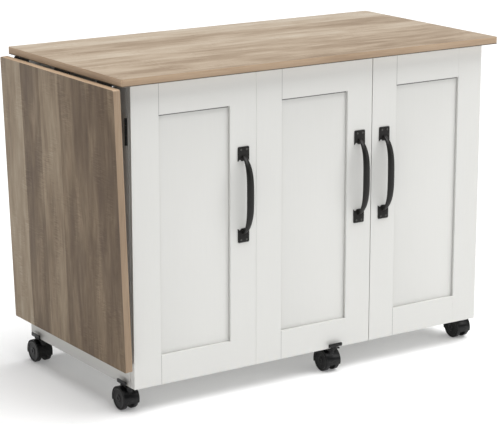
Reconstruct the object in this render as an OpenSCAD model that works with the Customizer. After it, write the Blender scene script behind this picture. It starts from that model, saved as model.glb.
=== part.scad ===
// Rolling sewing table: a cabinet on casters with a drop leaf at its left end.
// A wide door, which rolls on a caster of its own, and a narrow door close the front.
// Lengths are in millimetres. +Z is up, the doors face -Y and the leaf hangs on the -X side.
// The origin is on the floor, under the middle of the whole table as it stands folded.

/* [Work surface] */
// Width of the fixed top
top_w = 983; // [820:1:1180]
// Depth of the fixed top and of the drop leaf
top_d = 495; // [412:1:594]
// Height of the work surface above the floor
top_h = 724; // [603:1:870]
// Thickness of the top and of the leaf
top_t = 16; // [13:0.5:20]
// Radius of the upright corners of the top and of the leaf
top_corner_r = 4; // [1:0.5:8]
// How far the leaf reaches from its hinge
leaf_l = 597; // [450:1:620]
// Gap between the top and the raised leaf
leaf_gap = 1; // [0.5:0.1:2]
// Angle at which the hanging leaf balances, its foot leaning in
leaf_tilt = 1.85; // [1:0.05:1.9]

/* [Cabinet] */
// How far the top overhangs the left end, where the leaf hangs
overhang_left = 35; // [35:1:60]
// How far the top overhangs the right end
overhang_right = 24; // [10:1:60]
// How far the top overhangs the doors
overhang_front = 26; // [15:1:50]
// How far the top overhangs the back
overhang_back = 3; // [0:1:20]
// Thickness of the ends, partition, bottom and rails
board_t = 16; // [14:0.5:20]
// Thickness of the hardboard back
back_t = 3; // [2.5:0.5:6]
// Height of the cabinet's lower edge above the floor
cabinet_lift = 57; // [57:1:80]
// Depth of each rail under the top
rail_d = 62; // [50:1:90]

/* [Shelves] */
// Thickness of a shelf
shelf_t = 15; // [12:0.5:18]
// Height of the left shelf above the bottom board
left_shelf_h = 330; // [150:1:420]
// Height of the lower right shelf above the bottom board
right_shelf_1_h = 190; // [100:1:210]
// Height of the upper right shelf above the bottom board
right_shelf_2_h = 400; // [330:1:430]
// Distance from the doors' plane back to the shelves
shelf_setback = 22; // [16:1:60]
// Side clearance of a shelf at each end
shelf_play = 1; // [0.5:0.5:2]
// Radius of a shelf pin
pin_r = 2.5; // [2:0.25:3]
// Length of a shelf pin that stands out of its hole
pin_out = 8; // [6:1:12]
// Depth of a shelf pin's hole
pin_hole_l = 7; // [5:0.5:7.5]
// Spacing of the shelf holes
pin_pitch = 32; // [25:1:40]
// Extra holes above and below each shelf
pin_extra = 2; // [0:1:2]

/* [Doors] */
// Thickness of the doors' frames
door_t = 16; // [14:0.5:20]
// Width of the narrow right door
right_door_w = 309; // [250:1:360]
// Gap between the doors
door_gap = 2; // [1.5:0.5:4]
// Gap between the doors and the cabinet's front edges, which holds the hinge plates
hinge_gap = 2; // [2:0.1:3]
// Gap between the doors' upper edge and the top
door_top_gap = 4; // [2:1:12]
// Width of a door's outer stiles
stile_w = 66; // [50:1:80]
// Height of a door's lower rail
lower_rail_w = 64; // [50:1:80]
// Height of a door's upper rail
upper_rail_w = 67; // [50:1:80]
// Thickness of the door panels
panel_t = 5; // [4:0.5:6]
// Depth of the step from the frame's face down to the panel
panel_step = 6; // [4:0.5:8]
// How deep a panel sits in its frame's groove
groove_d = 8; // [5:1:12]
// Clearance of a panel in its groove, each way
groove_play = 0.2; // [0.1:0.05:0.5]
// Width and depth of the decorative groove down the wide door's middle
seam_groove = 1.2; // [0.8:0.1:2]

/* [Handles] */
// Height of a handle over both plates
handle_h = 209; // [170:1:240]
// Width of a handle's plate
handle_plate_w = 28; // [22:1:34]
// Height of a handle's plate
handle_plate_h = 31; // [24:1:36]
// Thickness of a handle's plate
handle_plate_t = 2.6; // [2:0.2:4]
// How far the grip stands out from the door
handle_out = 32; // [28:1:45]
// Width of the grip at its middle
grip_w = 15; // [10:1:18]
// Width of the grip at its necks
neck_w = 9; // [7:1:10]
// Thickness of the grip
grip_t = 5.5; // [4:0.5:7]
// Height of the handles' middle above the floor
handle_z = 442; // [350:1:520]

/* [Hinges] */
// Height of a door hinge
door_hinge_h = 57; // [40:1:76]
// Distance from a door's end to the middle of its hinge
door_hinge_in = 97; // [60:1:130]
// Width of a door hinge's plate
door_hinge_w = 14; // [12:0.5:15]
// Thickness of a door hinge's plate
door_hinge_t = 0.8; // [0.6:0.1:0.9]
// Radius of a door hinge's knuckles
door_knuckle_r = 3; // [2.6:0.1:3.2]
// How far a door hinge's pin lies outside the cabinet's side
door_pin_out = 1.5; // [1:0.1:1.6]
// Length of a leaf hinge
leaf_hinge_l = 60; // [40:1:90]
// Width of a leaf hinge's plate
leaf_hinge_w = 26; // [20:1:28]
// Thickness of a leaf hinge's plate
leaf_hinge_t = 1.2; // [0.8:0.1:1.5]
// Radius of a leaf hinge's knuckles
leaf_knuckle_r = 3; // [2.5:0.1:3.5]
// Distance from the leaf's side to the middle of its outer hinges
leaf_hinge_in = 65; // [50:1:120]
// Radius of every hinge pin
hinge_pin_r = 1.4; // [1.2:0.1:1.5]
// Radial clearance of a hinge pin in a turning knuckle
pin_play = 0.06; // [0.03:0.01:0.1]
// Gap between neighbouring knuckles
knuckle_gap = 0.4; // [0.3:0.1:0.6]

/* [Casters] */
// Radius of a caster wheel
wheel_r = 25; // [20:0.5:25]
// Width of one wheel of a pair
wheel_w = 11.3; // [8:0.1:13]
// Thickness of the hood's middle web
web_t = 13; // [12:0.5:15]
// Clearance between a wheel and its hood
wheel_play = 0.6; // [0.4:0.1:1]
// Wall of the hood over the wheels
hood_t = 1.4; // [1:0.1:2]
// How far the axle trails behind the stem
trail = 14; // [12:0.5:18]
// Radius of the axle
axle_r = 3; // [2.5:0.1:4]
// Radius of the stem
stem_r = 4; // [3.5:0.1:4.5]
// Radial clearance of the stem in its hood, and of the axle in its wheels
swivel_play = 0.06; // [0.03:0.01:0.1]
// How far the stem rises into the board above it
stem_in = 32; // [25:1:40]
// Wall of the sleeve that grips the stem
sleeve_wall = 1.2; // [1:0.1:1.4]
// Distance from the ends' front and back edges to the nearest stems
stem_inset = 20; // [20:1:40]
// Distance from the wide door's free edge to its stem
door_stem_in = 99; // [60:1:200]
// Thickness of the plate under the board that carries a brake lever
bracket_t = 1.3; // [1:0.1:1.4]
// Width of a brake lever's toe bar
toe_w = 36; // [28:1:40]
// Height of a brake lever's toe bar
toe_h = 8; // [6:0.5:9]
// Height of the hood's lower edge above the floor
hood_foot = 17; // [8:0.5:20]

/* [Hidden] */
$fn = 48;
eps = 0.01;

// Colours
oak = [0.55, 0.45, 0.36];
white = [0.90, 0.90, 0.88];
black = [0.09, 0.09, 0.09];
zinc = [0.70, 0.71, 0.72];
hardboard = [0.80, 0.79, 0.76];

// The table's own grid: x from the top's left edge, y from its front edge, z from the floor
left_x = overhang_left;
right_x = top_w - overhang_right;
door_y = overhang_front;
front_y = door_y + door_t + hinge_gap;
back_y = top_d - overhang_back;
end_back_y = back_y - back_t;
base_z = cabinet_lift;
floor_z = base_z + board_t;
under_top_z = top_h - top_t;
under_rail_z = under_top_z - board_t;

// Doors
cabinet_w = right_x - left_x;
wide_door_w = cabinet_w - right_door_w - door_gap;
door_h = under_top_z - door_top_gap - base_z;
seam_x = left_x + wide_door_w + door_gap / 2;
right_door_x = seam_x + door_gap / 2;
partition_x = seam_x - board_t / 2;
mid_stile_w = 2 * stile_w;
wide_panel_w = (wide_door_w - 2 * stile_w - mid_stile_w) / 2;
right_panel_w = right_door_w - 2 * stile_w;
panel_h = door_h - lower_rail_w - upper_rail_w;
panel_z = base_z + lower_rail_w;

// Door hinges: the pin stands outside the side face, in the middle of the hinge gap
door_pin_y = door_y + door_t + hinge_gap / 2;
left_pin_x = left_x - door_pin_out;
right_pin_x = right_x + door_pin_out;
door_hinge_zs = [base_z + door_hinge_in, base_z + door_h - door_hinge_in];
knuckle_clear = 0.4;
pin_seat = 0.01;
door_notch_r = door_knuckle_r + knuckle_clear;

// Leaf hinge: the pin lies just under the top's left edge
leaf_drop = leaf_knuckle_r + 0.2;
leaf_pin_x = -leaf_gap / 2;
leaf_pin_z = under_top_z - leaf_drop;
leaf_end_in = leaf_gap / 2;
leaf_hinge_ys = [leaf_hinge_in, top_d / 2, top_d - leaf_hinge_in];

// Casters
hood_r = wheel_r + wheel_play + hood_t;
hood_w = web_t + 2 * (wheel_w + wheel_play);
boss_r = 7.5;
rear_stem_more = 18;
bracket_z = base_z - bracket_t;
boss_top = bracket_z - 0.5;
stem_foot = wheel_r + 6;
stem_floor = 0.5;
sleeve_bore_r = stem_r + 0.2;
sleeve_r = sleeve_bore_r + sleeve_wall;
sleeve_l = stem_in + 1;
sleeve_hole_l = stem_in + 2;
axle_end_in = 1;
axle_seat = 0.02;
end_stem_xs = [left_x + board_t / 2, right_x - board_t / 2];
stem_ys = [front_y + stem_inset, end_back_y - stem_inset - rear_stem_more];
door_stem_x = seam_x - door_gap / 2 - door_stem_in;
door_stem_y = door_y + door_t / 2;

// Wheel profile
tread_ease = 1.2;
rim_ease = 1.8;
rim_in = 4.5;
rim_step = 1;
hub_r = 9;

// Brake lever: it reaches outwards from the stem, across the board's edge
lever_pin_out = 2;
lever_pin_z = base_z - 1.8;
lever_barrel_r = 1.6;
lever_pin_r = 0.8;
lever_half_w = 14;
lever_side_play = 0.3;
ear_t = 2;
ear_root = 2;
arm_t = 1.8;
arm_root_w = 10;
arm_toe_w = 22;
toe_rise = 6.7;
toe_reach = 6;
toe_t = 2.4;
toe_corner_r = 1.8;
bracket_inset = 1;

// The folded table's box, which puts the origin under its middle
leaf_out = leaf_drop + top_t;
low_x = leaf_pin_x - leaf_out * cos(leaf_tilt) + leaf_end_in * sin(leaf_tilt);
low_y = door_y - handle_out;
mid_x = (low_x + top_w) / 2;
mid_y = (low_y + top_d) / 2;

// Small hardware
screw_r = 1.7;
screw_play = 0.05;
screw_bite = 11;
hole_bite = 12;
head_r = 2.7;
head_play = 0.1;
cam_r = 7.4;
cam_h = 12;
cam_in = 24;
cam_play = 0.1;
bolt_r = 3;
bolt_play = 0.3;
bolt_bite = 10;
bolt_tip = 0.2;
bolt_cam_gap = 0.4;
bottom_cam_in = 60;
nail_r = 0.8;
nail_bite = 14;
nail_head_r = 1.8;
nail_head_t = 0.6;
nail_end_in = 30;
back_inset = 2;
back_top_gap = 1;
top_screw_in = 90;
top_head_r = 3.5;
top_head_t = 2.5;
top_bite = 10;
long_screw_r = 2.5;
long_screw_l = 48;
long_screw_in = 70;
long_head_r = 4.5;
long_head_t = 3.5;
sink = 0.1;
catch_screw_r = 1.3;
catch_screw_in = 6;
catch_screw_y = 7;
catch_bite = 9;
catch_head_r = 2.4;
catch_head_t = 1;
catch_w = 40;
catch_d = 13;
catch_h = 14;
strike_t = 1.2;
strike_w = 30;
catch_off = 26;
handle_screw_x = 7;
handle_screw_z = 6;
handle_head_r = 2.2;
handle_head_t = 0.7;
hinge_screw_at = 0.36;
hinge_screw_in = 8.5;
leaf_screw_xs = [10, 20];
leaf_screw_at = 1 / 3;

// ---------- helpers ----------
// Moves a piece from the table's grid to the part's origin
module place() {
    translate([-mid_x, -mid_y, 0]) children();
}

// A board from one corner to the other
module board(low, high) {
    translate(low) cube(high - low);
}

// A board lying flat, with rounded upright corners
module round_board(low, high, r) {
    size = high - low;
    translate(low) linear_extrude(size[2]) rounded_rect(size[0], size[1], r);
}

// A rectangle with its corner at the origin and rounded corners
module rounded_rect(w, h, r) {
    translate([r, 0]) square([w - 2 * r, h]);
    translate([0, r]) square([w, h - 2 * r]);
    for (x = [r, w - r], y = [r, h - r]) translate([x, y]) circle(r);
}

// A cylinder along X, from x = 0
module x_rod(r, l) {
    rotate([0, 90, 0]) cylinder(r = r, h = l);
}

// A cylinder along Y, from y = 0
module y_rod(r, l) {
    rotate([-90, 0, 0]) cylinder(r = r, h = l);
}

// Copies a piece mirrored across the cabinet's middle
module both_ends() {
    children();
    translate([left_x + right_x, 0, 0]) mirror([1, 0, 0]) children();
}

// ---------- shelves and their holes ----------
// Each entry: height above the bottom board, left wall, right wall
shelves = [
    [left_shelf_h, left_x + board_t, partition_x],
    [right_shelf_1_h, partition_x + board_t, right_x - board_t],
    [right_shelf_2_h, partition_x + board_t, right_x - board_t]];
shelf_back_gap = 4;
pin_in = 37;
pin_end_gap = 0.2;
shelf_front = front_y + shelf_setback;
shelf_back = end_back_y - shelf_back_gap;
pin_ys = [shelf_front + pin_in, shelf_back - pin_in];

module shelf(s) {
    z = floor_z + s[0];
    board([s[1] + shelf_play, shelf_front, z], [s[2] - shelf_play, shelf_back, z + shelf_t]);
}

// Holes beside the shelf s in the wall at x = wall, opening towards dir
module shelf_holes(s, wall, dir) {
    for (y = pin_ys, k = [-pin_extra:pin_extra])
        translate([wall, y, floor_z + s[0] - pin_r + k * pin_pitch])
            rotate([0, -90 * dir, 0])
                translate([0, 0, -eps]) cylinder(r = pin_r + screw_play, h = pin_hole_l + eps);
}

// ---------- cabinet ----------
module cam_spots() {
    for (y = [front_y + bottom_cam_in, end_back_y - bottom_cam_in])
        translate([0, y, base_z + board_t / 2]) children();
    for (y = [front_y + rail_d / 2, end_back_y - rail_d / 2])
        translate([0, y, under_rail_z + board_t / 2]) children();
}

// Bolt holes in the inner face of the left end
module end_bolt_holes() {
    translate([left_x + board_t - bolt_bite, 0, 0]) cam_spots()
        x_rod(bolt_r + screw_play, bolt_bite + eps);
}

// Cam pockets, from below, and bolt holes at the left end of a level board
module cam_cuts() {
    translate([left_x + board_t, 0, 0]) cam_spots() {
        translate([-eps, 0, 0]) x_rod(bolt_r + bolt_play, cam_in);
        translate([cam_in, 0, -board_t / 2 - eps]) cylinder(r = cam_r + cam_play, h = cam_h + 2 * cam_play);
    }
}

module end_panel_left() {
    difference() {
        board([left_x, front_y, base_z], [left_x + board_t, end_back_y, under_top_z]);
        end_bolt_holes();
        for (y = stem_ys) translate([end_stem_xs[0], y, base_z - eps])
            cylinder(r = sleeve_r + screw_play, h = sleeve_hole_l);
        for (z = door_hinge_zs) {
            hinge_notch(left_pin_x, z);
            hinge_screw_holes(left_pin_x, 1, z, 1);
        }
        nail_spots(left_x + board_t / 2) nail_hole();
    }
}

nail_xs = [left_x + board_t / 2, partition_x + board_t / 2, right_x - board_t / 2];

module nail_spots(x) {
    low = base_z + nail_end_in;
    high = under_top_z - nail_end_in;
    for (k = [0:4]) translate([x, end_back_y, low + k * (high - low) / 4]) children();
}

module nail_hole() {
    translate([0, -nail_bite - 1, 0])
        y_rod(nail_r + screw_play, nail_bite + 1 + back_t + eps);
}

module left_end_panel() place() color(white) difference() {
    end_panel_left();
    shelf_holes(shelves[0], left_x + board_t, 1);
}

module right_end_panel() place() color(white) difference() {
    translate([left_x + right_x, 0, 0]) mirror([1, 0, 0]) end_panel_left();
    shelf_holes(shelves[1], right_x - board_t, -1);
    shelf_holes(shelves[2], right_x - board_t, -1);
}

module partition() place() color(white) difference() {
    board([partition_x, front_y, floor_z], [partition_x + board_t, end_back_y, under_rail_z]);
    shelf_holes(shelves[0], partition_x, -1);
    shelf_holes(shelves[1], partition_x + board_t, 1);
    shelf_holes(shelves[2], partition_x + board_t, 1);
    partition_screw_spots() cylinder(r = long_screw_r + screw_play, h = long_screw_l + 2);
    nail_spots(partition_x + board_t / 2) nail_hole();
}

module partition_screw_spots() {
    for (y = [front_y + long_screw_in, end_back_y - long_screw_in])
        translate([partition_x + board_t / 2, y, base_z]) children();
}

module bottom_panel() place() color(white) difference() {
    board([left_x + board_t, front_y, base_z], [right_x - board_t, end_back_y, floor_z]);
    both_ends() cam_cuts();
    partition_screw_spots() translate([0, 0, -eps]) {
        cylinder(r = long_screw_r + screw_play, h = long_screw_l);
        cylinder(r = long_head_r + sink, h = long_head_t + sink);
    }
}

module back_panel() place() color(hardboard) difference() {
    board([left_x + back_inset, end_back_y, base_z + back_inset],
        [right_x - back_inset, back_y, under_top_z - back_top_gap]);
    for (x = nail_xs) nail_spots(x) nail_hole();
}

module back_nails() place() color(zinc) {
    for (x = nail_xs) nail_spots(x) {
        translate([0, -nail_bite, 0]) y_rod(nail_r, nail_bite + back_t);
        translate([0, back_t, 0]) y_rod(nail_head_r, nail_head_t);
    }
}

module top_rails() place() color(white) {
    for (y = [front_y, end_back_y - rail_d]) difference() {
        board([left_x + board_t, y, under_rail_z], [right_x - board_t, y + rail_d, under_top_z]);
        both_ends() cam_cuts();
        top_screw_spots() {
            translate([0, 0, -eps]) cylinder(r = screw_r + screw_play, h = board_t + 2 * eps);
            translate([0, 0, -eps]) cylinder(r = top_head_r + sink, h = top_head_t + 0.5);
        }
        catch_screw_spots() cylinder(r = catch_screw_r + screw_play, h = catch_bite + 1);
    }
}

module top_screw_spots() {
    for (y = [front_y + rail_d / 2, end_back_y - rail_d / 2], k = [0:3])
        translate([left_x + top_screw_in + k * (cabinet_w - 2 * top_screw_in) / 3, y,
            under_rail_z]) children();
}

module top_panel() place() color(oak) difference() {
    round_board([0, 0, under_top_z], [top_w, top_d, top_h], top_corner_r);
    top_screw_spots() cylinder(r = screw_r + screw_play, h = board_t + top_bite + 1);
    for (y = leaf_hinge_ys) leaf_screw_spots(y)
        translate([0, 0, -eps]) cylinder(r = screw_r + screw_play, h = hole_bite);
}

module left_shelf() place() color(white) shelf(shelves[0]);

module right_shelves() place() color(white) {
    shelf(shelves[1]);
    shelf(shelves[2]);
}

module shelf_pins() place() color(zinc) for (s = shelves, y = pin_ys) {
    translate([s[1] - pin_hole_l + pin_end_gap, y, floor_z + s[0] - pin_r])
        x_rod(pin_r, pin_hole_l + pin_out);
    translate([s[2] - pin_out - pin_end_gap, y, floor_z + s[0] - pin_r])
        x_rod(pin_r, pin_hole_l + pin_out);
}

module cam_fasteners() place() color(zinc) both_ends() translate([left_x + board_t, 0, 0])
    cam_spots() {
        translate([bolt_tip - bolt_bite, 0, 0])
            x_rod(bolt_r, bolt_bite - bolt_tip + cam_in - cam_r - bolt_cam_gap);
        translate([cam_in, 0, -board_t / 2]) cylinder(r = cam_r, h = cam_h);
    }

module cabinet_screws() place() color(zinc) {
    top_screw_spots() {
        cylinder(r = screw_r, h = board_t + top_bite);
        cylinder(r = top_head_r, h = top_head_t);
    }
    partition_screw_spots() {
        cylinder(r = long_screw_r, h = long_screw_l);
        cylinder(r = long_head_r, h = long_head_t);
    }
    catch_screw_spots() translate([0, 0, -catch_h - catch_head_t]) {
        cylinder(r = catch_screw_r, h = catch_head_t + catch_h + catch_bite);
        cylinder(r = catch_head_r, h = catch_head_t);
    }
    both_ends() for (z = door_hinge_zs) hinge_screws(left_pin_x, 1, z, 1);
    for (y = leaf_hinge_ys) leaf_screw_spots(y) {
        translate([0, 0, -leaf_hinge_t]) cylinder(r = screw_r, h = screw_bite + leaf_hinge_t);
        translate([0, 0, -leaf_hinge_t]) cylinder(r = head_r, h = leaf_hinge_t - head_play);
    }
}

// ---------- magnetic catches ----------
catch_xs = [seam_x - catch_off - catch_w, seam_x + catch_off];
strike_gap = 0.3;
catch_y = door_y + door_t + strike_t + strike_gap;

module catch_screw_spots() {
    for (x = catch_xs, d = [catch_screw_in, catch_w - catch_screw_in])
        translate([x + d, front_y + catch_screw_y, under_rail_z]) children();
}

module door_catches() place() color(white) for (x = catch_xs) difference() {
    board([x, catch_y, under_rail_z - catch_h], [x + catch_w, catch_y + catch_d, under_rail_z]);
    catch_screw_spots() translate([0, 0, -catch_h - eps])
        cylinder(r = catch_screw_r + screw_play, h = catch_h + 1);
}

module strike(x) {
    translate([x + (catch_w - strike_w) / 2, door_y + door_t, under_rail_z - catch_h])
        cube([strike_w, strike_t, catch_h - 1]);
}

module wide_door_strike_plate() place() color(zinc) strike(catch_xs[0]);
module right_door_strike_plate() place() color(zinc) strike(catch_xs[1]);

// ---------- door hinges ----------
// dir is 1 where the plates reach towards +X from the pin, -1 towards -X.
// side is 1 for the cabinet's plate, behind the pin, and -1 for the door's, in front of it.
knuckle_cuts = [0, 0.36, 0.74, 1];

// The round clearance that an edge has beside a hinge's knuckles
module hinge_notch(px, z) {
    translate([px, door_pin_y, z - door_hinge_h / 2 - 1])
        cylinder(r = door_notch_r, h = door_hinge_h + 2);
}

module hinge_knuckle(k, z) {
    translate([0, 0, z - door_hinge_h / 2 + knuckle_cuts[k] * door_hinge_h + knuckle_gap / 2])
        children();
}

function knuckle_h(k) =
    (knuckle_cuts[k + 1] - knuckle_cuts[k]) * door_hinge_h - knuckle_gap;

module door_hinge_plate(px, dir, z, side, ks, bore) {
    face = side * hinge_gap / 2;
    y0 = side > 0 ? face - door_hinge_t : face;
    root = door_notch_r;
    plate_end = door_pin_out + door_hinge_w;
    translate([px, door_pin_y, 0]) mirror([dir < 0 ? 1 : 0, 0, 0]) difference() {
        union() {
            translate([root, y0, z - door_hinge_h / 2])
                cube([plate_end - root, door_hinge_t, door_hinge_h]);
            for (k = ks) hinge_knuckle(k, z) {
                translate([0, y0, 0]) cube([root + 1, door_hinge_t, knuckle_h(k)]);
                cylinder(r = door_knuckle_r, h = knuckle_h(k));
            }
        }
        translate([0, 0, z - door_hinge_h]) cylinder(r = bore, h = 2 * door_hinge_h);
        for (dz = [-hinge_screw_at, hinge_screw_at])
            translate([hinge_screw_u, -5, z + dz * door_hinge_h]) y_rod(head_r + head_play, 10);
    }
}

hinge_screw_u = door_pin_out + hinge_screw_in;

module hinge_screw_holes(px, dir, z, side) {
    for (dz = [-hinge_screw_at, hinge_screw_at])
        translate([px + dir * hinge_screw_u, door_pin_y, z + dz * door_hinge_h])
            rotate([side > 0 ? -90 : 90, 0, 0])
                cylinder(r = screw_r + screw_play, h = hole_bite + hinge_gap / 2);
}

module hinge_screws(px, dir, z, side) {
    for (dz = [-hinge_screw_at, hinge_screw_at])
        translate([px + dir * hinge_screw_u, door_pin_y, z + dz * door_hinge_h])
            rotate([side > 0 ? -90 : 90, 0, 0])
                translate([0, 0, hinge_gap / 2 - door_hinge_t + head_play]) {
                    cylinder(r = head_r, h = door_hinge_t - head_play);
                    cylinder(r = screw_r, h = screw_bite);
                }
}

module door_hinge_cabinet_plates() place() color(black) both_ends() for (z = door_hinge_zs)
    door_hinge_plate(left_pin_x, 1, z, 1, [0, 2], hinge_pin_r + pin_seat);

module wide_door_hinge_plates() place() color(black) for (z = door_hinge_zs)
    door_hinge_plate(left_pin_x, 1, z, -1, [1], hinge_pin_r + pin_play);

module right_door_hinge_plates() place() color(black) for (z = door_hinge_zs)
    door_hinge_plate(right_pin_x, -1, z, -1, [1], hinge_pin_r + pin_play);

// ---------- leaf hinges ----------
leaf_knuckles = 5;
leaf_knuckle_l = leaf_hinge_l / leaf_knuckles;

module leaf_screw_spots(y) {
    for (dy = [-leaf_screw_at, leaf_screw_at], x = leaf_screw_xs)
        translate([x, y + dy * leaf_hinge_l, under_top_z]) children();
}

// A plate that reaches towards +X from the pin, its mounting face at z = leaf_drop
module leaf_hinge_plate(y, ks, bore) {
    root = leaf_knuckle_r + knuckle_clear;
    difference() {
        union() {
            translate([root, y - leaf_hinge_l / 2, leaf_drop - leaf_hinge_t])
                cube([leaf_hinge_w - root, leaf_hinge_l, leaf_hinge_t]);
            for (k = ks) translate([0, y - leaf_hinge_l / 2 + k * leaf_knuckle_l, 0]) {
                translate([0, knuckle_gap / 2, 0])
                    y_rod(leaf_knuckle_r, leaf_knuckle_l - knuckle_gap);
                translate([0, knuckle_gap / 2, leaf_drop - leaf_hinge_t])
                    cube([root + 1, leaf_knuckle_l - knuckle_gap, leaf_hinge_t]);
            }
        }
        translate([0, y - leaf_hinge_l, 0]) y_rod(bore, 2 * leaf_hinge_l);
    }
}

module leaf_hinge_top_plates() place() color(black) for (y = leaf_hinge_ys) difference() {
    translate([leaf_pin_x, 0, leaf_pin_z]) leaf_hinge_plate(y, [0, 2, 4], hinge_pin_r + pin_seat);
    leaf_screw_spots(y) translate([0, 0, -leaf_hinge_t - 1])
        cylinder(r = head_r + head_play, h = leaf_hinge_t + 2);
}

// On the level leaf, x runs out from the pin and z up from it
module level_leaf() {
    difference() {
        round_board([leaf_end_in, 0, leaf_drop], [leaf_end_in + leaf_l, top_d, leaf_out],
            top_corner_r);
        for (y = leaf_hinge_ys) level_screw_spots(y)
            translate([0, 0, -eps]) cylinder(r = screw_r + screw_play, h = hole_bite);
    }
}

module level_screw_spots(y) {
    for (dy = [-leaf_screw_at, leaf_screw_at], x = leaf_screw_xs)
        translate([x, y + dy * leaf_hinge_l, leaf_drop]) children();
}

// Hangs a piece drawn on the level leaf: mirrored to reach towards -X, then turned down
module leaf_frame() {
    hang_angle = 90 + leaf_tilt;
    translate([leaf_pin_x, 0, leaf_pin_z]) rotate([0, -hang_angle, 0])
        mirror([1, 0, 0]) children();
}

module drop_leaf() place() color(oak) leaf_frame() level_leaf();

module drop_leaf_hinge_plates() place() color(black) leaf_frame() for (y = leaf_hinge_ys)
    difference() {
        leaf_hinge_plate(y, [1, 3], hinge_pin_r + pin_play);
        level_screw_spots(y) translate([0, 0, -leaf_hinge_t - 1])
            cylinder(r = head_r + head_play, h = leaf_hinge_t + 2);
    }

module drop_leaf_screws() place() color(zinc) leaf_frame() for (y = leaf_hinge_ys)
    level_screw_spots(y) {
        translate([0, 0, head_play - leaf_hinge_t])
            cylinder(r = head_r, h = leaf_hinge_t - head_play);
        translate([0, 0, head_play - leaf_hinge_t]) cylinder(r = screw_r, h = screw_bite);
    }

module hinge_pins() place() color(zinc) {
    both_ends() for (z = door_hinge_zs)
        translate([left_pin_x, door_pin_y, z - door_hinge_h / 2])
            cylinder(r = hinge_pin_r, h = door_hinge_h);
    for (y = leaf_hinge_ys) translate([leaf_pin_x, y - leaf_hinge_l / 2, leaf_pin_z])
        y_rod(hinge_pin_r, leaf_hinge_l);
}

// ---------- doors ----------
panel_y = door_y + panel_step;

module door_stile(x, w) {
    difference() {
        board([x, door_y, base_z], [x + w, door_y + door_t, base_z + door_h]);
        for (gx = [x - eps, x + w - groove_d]) translate([gx, panel_y, panel_z - groove_d])
            cube([groove_d + eps, panel_t, panel_h + 2 * groove_d]);
    }
}

// A rail between two stiles, with its groove along the panel's edge
module door_rail(x, w, z, h, groove_z) {
    difference() {
        board([x, door_y, z], [x + w, door_y + door_t, z + h]);
        translate([x - eps, panel_y, groove_z]) cube([w + 2 * eps, panel_t, groove_d + eps]);
    }
}

module door_rails(x, w) {
    door_rail(x, w, base_z, lower_rail_w, panel_z - groove_d);
    door_rail(x, w, panel_z + panel_h, upper_rail_w, panel_z + panel_h - eps);
}

module door_panel(x, w) {
    g = groove_d - groove_play;
    board([x - g, panel_y + groove_play, panel_z - g],
        [x + w + g, panel_y + panel_t - groove_play, panel_z + panel_h + g]);
}

wide_xs = [left_x, left_x + stile_w + wide_panel_w,
    left_x + wide_door_w - stile_w];
wide_panel_xs = [left_x + stile_w, left_x + stile_w + wide_panel_w + mid_stile_w];
wide_handle_xs = [wide_xs[1] + stile_w / 2, wide_xs[2] + stile_w / 2];
right_handle_x = right_door_x + stile_w / 2;
right_panel_x = right_door_x + stile_w;

module wide_door_stiles() place() color(white) difference() {
    union() {
        door_stile(wide_xs[0], stile_w);
        door_stile(wide_xs[1], mid_stile_w);
        door_stile(wide_xs[2], stile_w);
    }
    translate([wide_xs[1] + mid_stile_w / 2, door_y, base_z - eps])
        rotate([0, 0, 45]) translate([-seam_groove / 2, -seam_groove / 2, 0])
            cube([seam_groove, seam_groove, door_h + 2 * eps]);
    for (z = door_hinge_zs) {
        hinge_notch(left_pin_x, z);
        hinge_screw_holes(left_pin_x, 1, z, -1);
    }
    for (x = wide_handle_xs) handle_screw_spots(x) y_rod(screw_r + screw_play, hole_bite);
}

module wide_door_rails() place() color(white) difference() {
    for (x = wide_panel_xs) door_rails(x, wide_panel_w);
    translate([door_stem_x, door_stem_y, base_z - eps])
        cylinder(r = sleeve_r + screw_play, h = sleeve_hole_l);
}

module wide_door_panels() place() color(white)
    for (x = wide_panel_xs) door_panel(x, wide_panel_w);

module right_door_stiles() place() color(white) difference() {
    union() {
        door_stile(right_door_x, stile_w);
        door_stile(right_x - stile_w, stile_w);
    }
    for (z = door_hinge_zs) {
        hinge_notch(right_pin_x, z);
        hinge_screw_holes(right_pin_x, -1, z, -1);
    }
    handle_screw_spots(right_handle_x) y_rod(screw_r + screw_play, hole_bite);
}

module right_door_rails() place() color(white) door_rails(right_panel_x, right_panel_w);
module right_door_panel() place() color(white) door_panel(right_panel_x, right_panel_w);

// ---------- handles ----------
grip_end_in = 20;
grip_half = handle_h / 2 - grip_end_in;
grip_curve = 2.6;
grip_taper = 2.4;
plate_corner_r = 2.5;
scallop_r = 5;
scallop_out = 1.5;

// Half a superellipse, from its lower end to its upper end
function bow(half, out) = [for (i = [-20:20])
    let (s = sin(i * 4.5), z = s * half)
    [z, out * pow(1 - pow(abs(s), grip_curve), 1 / grip_curve)]];

// The grip seen from the side: z along x, distance from the door along y
module grip_side() {
    difference() {
        polygon(bow(grip_half, handle_out));
        translate([0, -eps]) polygon(bow(grip_half - grip_t * 1.1, handle_out - grip_t));
        translate([-grip_half, -1]) square([2 * grip_half, 1 + handle_plate_t / 2]);
    }
}

// The grip seen from the front: wide in the middle, narrow at the necks
module grip_front() {
    n = 16;
    half = [for (i = [-n:n]) let (t = i / n)
        [t * grip_half, (neck_w + (grip_w - neck_w) * (1 - pow(abs(t), grip_taper))) / 2]];
    polygon(concat(half, [for (i = [2 * n:-1:0]) [half[i][0], -half[i][1]]]));
}

module handle_plate(z) {
    translate([-handle_plate_w / 2, 0, z - handle_plate_h / 2]) rotate([90, 0, 0])
        linear_extrude(handle_plate_t)
            rounded_rect(handle_plate_w, handle_plate_h, plate_corner_r);
}

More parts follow.
